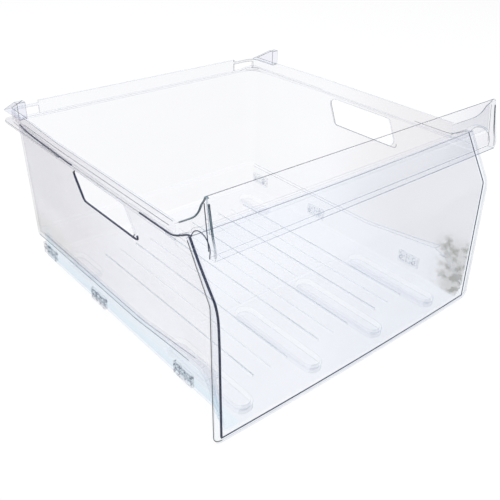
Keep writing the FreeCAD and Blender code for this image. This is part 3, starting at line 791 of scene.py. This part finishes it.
def rim_beads():
    """Sweep of the rim down to the panel, the rim's outer face farther back, and the ledge."""
    tub = Surface("tub")
    sweep = ((126, 218.8), (118, 218.8), (104, 218.8), (90, 218.8), (79, 218.8), (71, 219.0),
             (65.5, 220.4), (59, 222.8), (52, 226.4), (46, 229.6), (42, 230.8), (39, 231.4))
    for sign, side, radius, rod in ((-1, "left", 0.95, RIM_ROD), (1, "right", 0.35, GREY_ROD)):
        points = [(sign * (RIM_OUT if y > SWEEP_START else SWEEP_OUT), y, z) for y, z in sweep]
        bead(f"rim_bead_{side}", points, rod, radius)
    rear = ((270, 218.8), (295, 219.0), (315, 219.4), (338, 219.0), (363, 218.5), (388, 218.3),
            (405, 219.2), (418, 220.8))
    middle = ((126, 218.8), (150, 218.8), (200, 218.8), (270, 218.8))
    step = ((74, 227.6), (100, 227.6), (200, 227.6), (300, 227.6), (350, 226.8), (400, 225.6))
    over = ((433, 50.9), (400, 50.9), (300, 50.9), (200, 50.9), (172, 51.0), (150, 53.4),
            (120, 57.0), (90, 60.4), (66, 63.2))
    under = [(y, z - LEDGE_EDGE) for y, z in over]
    for name, places, sunk, rod, radius in (
            ("rim_bead_rear", rear, 0.3, RIM_ROD, 0.9),
            ("rim_bead_middle", middle, 0.1, THIN_ROD, 0.3),
            ("rim_bead_step", step, 0.1, THIN_ROD, 0.32),
            ("ledge_bead_upper", over, 0.2, LEDGE_ROD, 0.4),
            ("ledge_bead_lower", under, 0.2, LEDGE_ROD, 0.35)):
        bead(name, on_side(tub, -1, places, sunk), rod, radius)


ARCH_MIDDLE = (26.0, 227.1)
ARCH_RADIUS = 14.2
ARCH_TURNS = range(14, 204, 10)
ARCH_FOOT = [(12.5, 221.2), (12.4, 219.8)]
WEB_DEPTHS = (60, 56, 52, 48, 44, 40, 36, 33, 30, 28, 26, 24, 22, 20, 18, 16, 15)
WEB_OUT = 213.6
WEB_SUNK = 0.5


def shelf_arch():
    """End of the shelf's arch, as (depth, height) places."""
    depth, height = ARCH_MIDDLE
    turns = [math.radians(turn) for turn in ARCH_TURNS]
    return [(depth + ARCH_RADIUS * math.cos(turn), height + ARCH_RADIUS * math.sin(turn))
            for turn in turns] + ARCH_FOOT


def web_top(grip, sign):
    """Points along the upper edge of an end web."""
    x = sign * WEB_OUT
    heights = [(y, grip.top(x, y)) for y in WEB_DEPTHS]
    return [(x, y, z - WEB_SUNK) for y, z in heights if z is not None]


def grip_beads():
    """Long edges of the grip's strip, and the edges at its two ends."""
    grip = Surface("handle_grip")
    for name, y, z, rod, radius in (("strip_top_bead", 18.6, 278.6, THIN_ROD, 0.36),
                                    ("strip_foot_bead_front", 4.3, 221.0, FOOT_ROD, 0.42),
                                    ("strip_foot_bead_back", 12.6, 221.3, FOOT_ROD, 0.32)):
        along = [(x, y, z) for x in (-213.6, -150.0, 0.0, 150.0, 213.6)]
        bead(name, along, rod, radius)
    back = ((19.7, 272.0), (19.3, 269.2), (17.8, 258.3), (16.4, 247.1), (14.9, 236.0),
            (13.8, 227.0))
    front = ((14.0, 273.0), (14.0, 271.1), (12.0, 260.5), (10.0, 249.7), (8.7, 243.0),
             (5.2, 231.0), (4.8, 224.0))
    rods = {"left": ((0.5, BLACK_ROD), (0.45, BLACK_ROD), (1.15, END_ROD), (0.9, CYAN_ROD)),
            "right": ((0.2, GREY_ROD), (0.3, GREY_ROD), (0.75, END_ROD), (0.2, GREY_ROD))}
    for sign, side in ((-1, "left"), (1, "right")):
        routes = (("arch_bead", [(sign * 214.6, y, z) for y, z in shelf_arch()]),
                  ("strip_back_bead", [(sign * 214.7, y, z) for y, z in back]),
                  ("strip_front_bead", [(sign * 213.9, y, z) for y, z in front]),
                  ("web_bead", web_top(grip, sign)))
        for (name, points), (radius, rod) in zip(routes, rods[side]):
            bead(f"{name}_{side}", points, rod, radius)


seam_beads()
hole_beads()
rim_beads()
grip_beads()


# Studio: pale floor, white surround for the camera, softer grey room for the gloss

FLOOR_REACH = 6.0
FLOOR_DROP = 0.5 * MM
FLOOR_GREY = (0.12, 0.12, 0.12)
FLOOR_GLOW = 0.868
WHITE = (1.0, 1.0, 1.0)
ROOM_BELOW = (0.35, 0.36, 0.38)
ROOM_ABOVE = (0.85, 0.87, 0.9)
ROOM_HEIGHTS = (-0.1, 0.9)
LAMP_AIM = Vector((0, 0, 0.1))


def plain_rays(tree):
    """1 where the camera sees the surround, straight or in something clear or glossy."""
    path = tree.add("ShaderNodeLightPath").outputs
    mirrored = tree.math("MAXIMUM", path["Is Glossy Ray"], path["Is Transmission Ray"])
    return tree.math("MAXIMUM", path["Is Camera Ray"], mirrored)


def make_floor():
    data = bpy.data.meshes.new("studio_floor")
    reach = FLOOR_REACH
    corners = [(-reach, -reach, 0), (reach, -reach, 0), (reach, reach, 0), (-reach, reach, 0)]
    data.from_pydata(corners, [], [(0, 1, 2, 3)])
    floor = bpy.data.objects.new("studio_floor", data)
    floor.location.z = -FLOOR_DROP
    bpy.context.scene.collection.objects.link(floor)
    material, tree = new_material("studio_floor_paint")
    diffuse = tree.add("ShaderNodeBsdfDiffuse")
    diffuse.inputs["Color"].default_value = (*FLOOR_GREY, 1.0)
    glow = tree.add("ShaderNodeEmission")
    glow.inputs["Color"].default_value = (*WHITE, 1.0)
    tree.link(tree.math("MULTIPLY", plain_rays(tree), FLOOR_GLOW), glow.inputs["Strength"])
    both = tree.add("ShaderNodeAddShader")
    tree.link(diffuse.outputs[0], both.inputs[0])
    tree.link(glow.outputs[0], both.inputs[1])
    tree.finish(both)
    data.materials.append(material)
    floor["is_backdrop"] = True


def make_world():
    world = bpy.data.worlds.new("studio")
    bpy.context.scene.world = world
    world.use_nodes = True
    tree = Tree(world.node_tree)
    direction = tree.axes(tree.add("ShaderNodeTexCoord").outputs["Generated"])
    height = tree.remap(direction["Z"], *ROOM_HEIGHTS, 0.0, 1.0)
    room = tree.blend(height, ROOM_BELOW, ROOM_ABOVE)
    background = tree.add("ShaderNodeBackground")
    tree.link(tree.blend(plain_rays(tree), room, WHITE), background.inputs["Color"])
    tree.finish(background, "ShaderNodeOutputWorld")


def make_light(name, place, size, power):
    data = bpy.data.lights.new(name, "AREA")
    data.shape = "RECTANGLE"
    data.size, data.size_y = size
    data.energy = power
    light = bpy.data.objects.new(name, data)
    bpy.context.scene.collection.objects.link(light)
    light.location = place
    light.rotation_euler = (LAMP_AIM - Vector(place)).to_track_quat("-Z", "Y").to_euler()


make_floor()
make_world()
make_light("key_softbox", place=(-0.9, -1.1, 1.9), size=(1.4, 1.0), power=22)
make_light("fill_softbox", place=(1.4, -0.6, 1.2), size=(1.0, 1.4), power=9)
make_light("back_softbox", place=(0.2, 1.8, 1.5), size=(1.8, 0.9), power=12)

bpy.context.scene.view_settings.view_transform = "Standard"

# The camera looks through many thin clear walls, one behind the other
bpy.context.scene.cycles.transparent_max_bounces = 64


# Sizes of both models, for comparison

dressed_low, dressed_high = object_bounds()
({
    "cad": [list(cad_low), list(cad_high)],
    "dressed": [list(dressed_low), list(dressed_high)],
})
